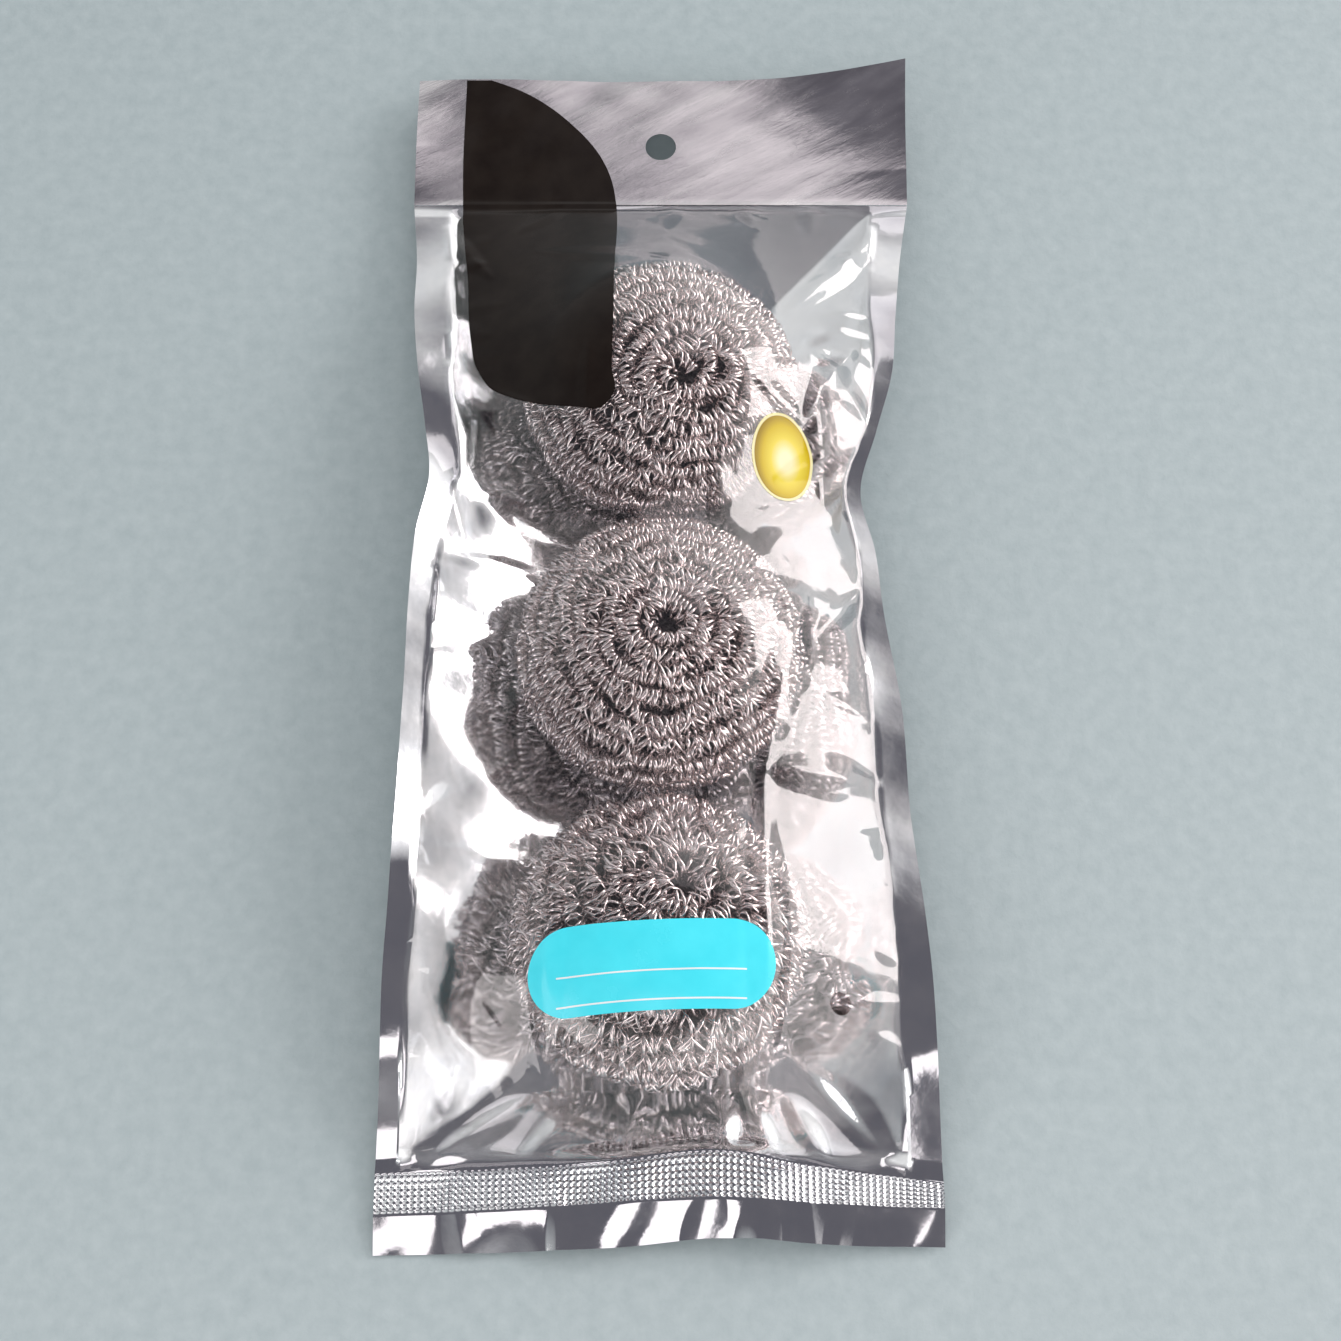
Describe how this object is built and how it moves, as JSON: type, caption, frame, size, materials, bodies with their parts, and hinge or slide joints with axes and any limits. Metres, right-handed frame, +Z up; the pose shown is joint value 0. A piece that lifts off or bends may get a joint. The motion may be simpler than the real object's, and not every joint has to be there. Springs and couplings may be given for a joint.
{
  "type": "pot scrubber",
  "caption": "Wire-coil pot scrubbers in a row inside a sealed pillow bag with a clear front film, a mirror back film and a folding header with a hang hole.",
  "frame": {"origin": "on the table under the middle of the pack, which lies on its back film", "axes": "+X across the bag, +Y from the knurled bottom seal towards the header, +Z up out of the clear front film"},
  "size_m": [0.12, 0.282, 0.0386],
  "materials": {
    "clear_film": "clear gloss",
    "silver_film": "metallised gloss",
    "label": "gloss print",
    "steel_wire": "bright curled wire"
  },
  "bodies": {
    "bag": {"front_film": "clear_film", "back_film": "silver_film", "front_label": "label"},
    "header": {"header_front_film": "silver_film", "header_back_film": "silver_film"},
    "scrubber_top": {"scrubber_top_winding": "steel_wire", "scrubber_top_core": "steel_wire"},
    "scrubber_middle": {"scrubber_middle_winding": "steel_wire", "scrubber_middle_core": "steel_wire"},
    "scrubber_bottom": {"scrubber_bottom_winding": "steel_wire", "scrubber_bottom_core": "steel_wire"}
  },
  "joints": [
    {"name": "header_fold", "type": "hinge", "parent": "bag", "child": "header", "pos_m": [0, 0.105, 0.008], "axis": [1, 0, 0], "range_deg": [-90, 90], "stiffness_Nm_per_rad": 0.01},
    {"name": "scrubber_top_turn", "type": "hinge", "parent": "bag", "child": "scrubber_top", "pos_m": [0, 0.05, 0.01875], "axis": [0, 0, 1], "continuous": true},
    {"name": "scrubber_middle_turn", "type": "hinge", "parent": "bag", "child": "scrubber_middle", "pos_m": [0, -0.015, 0.01875], "axis": [0, 0, 1], "continuous": true},
    {"name": "scrubber_bottom_turn", "type": "hinge", "parent": "bag", "child": "scrubber_bottom", "pos_m": [0, -0.08, 0.01875], "axis": [0, 0, 1], "continuous": true}
  ]
}
